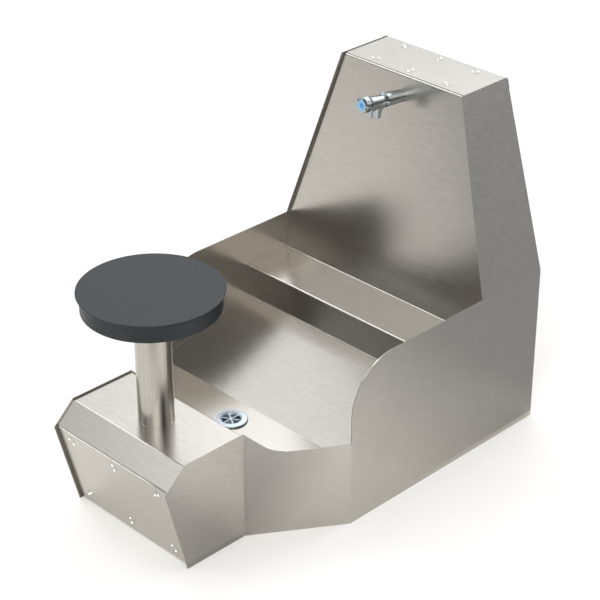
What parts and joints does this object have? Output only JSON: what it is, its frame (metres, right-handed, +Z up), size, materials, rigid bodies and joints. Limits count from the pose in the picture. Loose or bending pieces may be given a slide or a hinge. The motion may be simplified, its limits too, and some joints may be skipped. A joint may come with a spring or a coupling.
{
  "type": "ablution unit",
  "caption": "Free-standing stainless foot-washing unit: a bench with a round seat, a foot basin with floor waste, and a tower with shelf, splashback and self-closing push tap.",
  "frame": {"origin": "on the floor, under the middle of the box that the unit fills, which includes the part of the seat that overhangs the front", "axes": "+X across the unit to the right of a person facing the tap, +Y from the seat to the tower at the back, +Z up"},
  "size_m": [0.6, 1.0175, 0.8],
  "materials": {
    "brushed_sheet": "satin brushed stainless sheet, warm grey",
    "brushed_tube": "satin stainless tube, brushed along its length",
    "fixing_steel": "plain stainless",
    "seat_black": "moulded anthracite plastic with a fine satin grain",
    "chrome": "polished chrome",
    "button_blue": "glossy blue",
    "seal_rubber": "black rubber",
    "brass": "machined brass"
  },
  "bodies": {
    "unit": {"side_panel_left": "brushed_sheet", "side_panel_right": "brushed_sheet", "front_access_panel": "brushed_sheet", "bench_top": "brushed_sheet", "basin_tray": "brushed_sheet", "splashback": "brushed_sheet", "top_access_cover": "brushed_sheet", "back_panel": "brushed_sheet", "front_bottom_rail": "brushed_sheet", "basin_stiffener": "brushed_sheet", "floor_brackets": "brushed_sheet", "front_panel_screws": "fixing_steel", "front_panel_nuts": "fixing_steel", "top_cover_screws": "fixing_steel", "top_cover_nuts": "fixing_steel", "seat_disc": "seat_black", "seat_plate": "fixing_steel", "seat_screws": "fixing_steel", "seat_column": "brushed_tube", "column_foot_plate": "fixing_steel", "waste_body": "chrome", "waste_seal": "seal_rubber", "waste_washer": "seal_rubber", "waste_backnut": "brass", "tap_body": "chrome", "tap_cartridge": "brass", "tap_collar": "chrome", "return_spring": "fixing_steel", "spout_nozzle": "chrome", "tap_washer": "seal_rubber", "tap_backnut": "brass"},
    "button": {"push_button": "chrome", "button_insert": "button_blue", "valve_stem": "brass"}
  },
  "joints": [
    {"name": "button_press", "type": "slide", "parent": "unit", "child": "button", "axis": [0, 0.993, -0.1182], "range_m": [0, 0.006], "stiffness_N_per_m": 1500, "springref_m": -0.002, "deforming": ["return_spring"]}
  ]
}
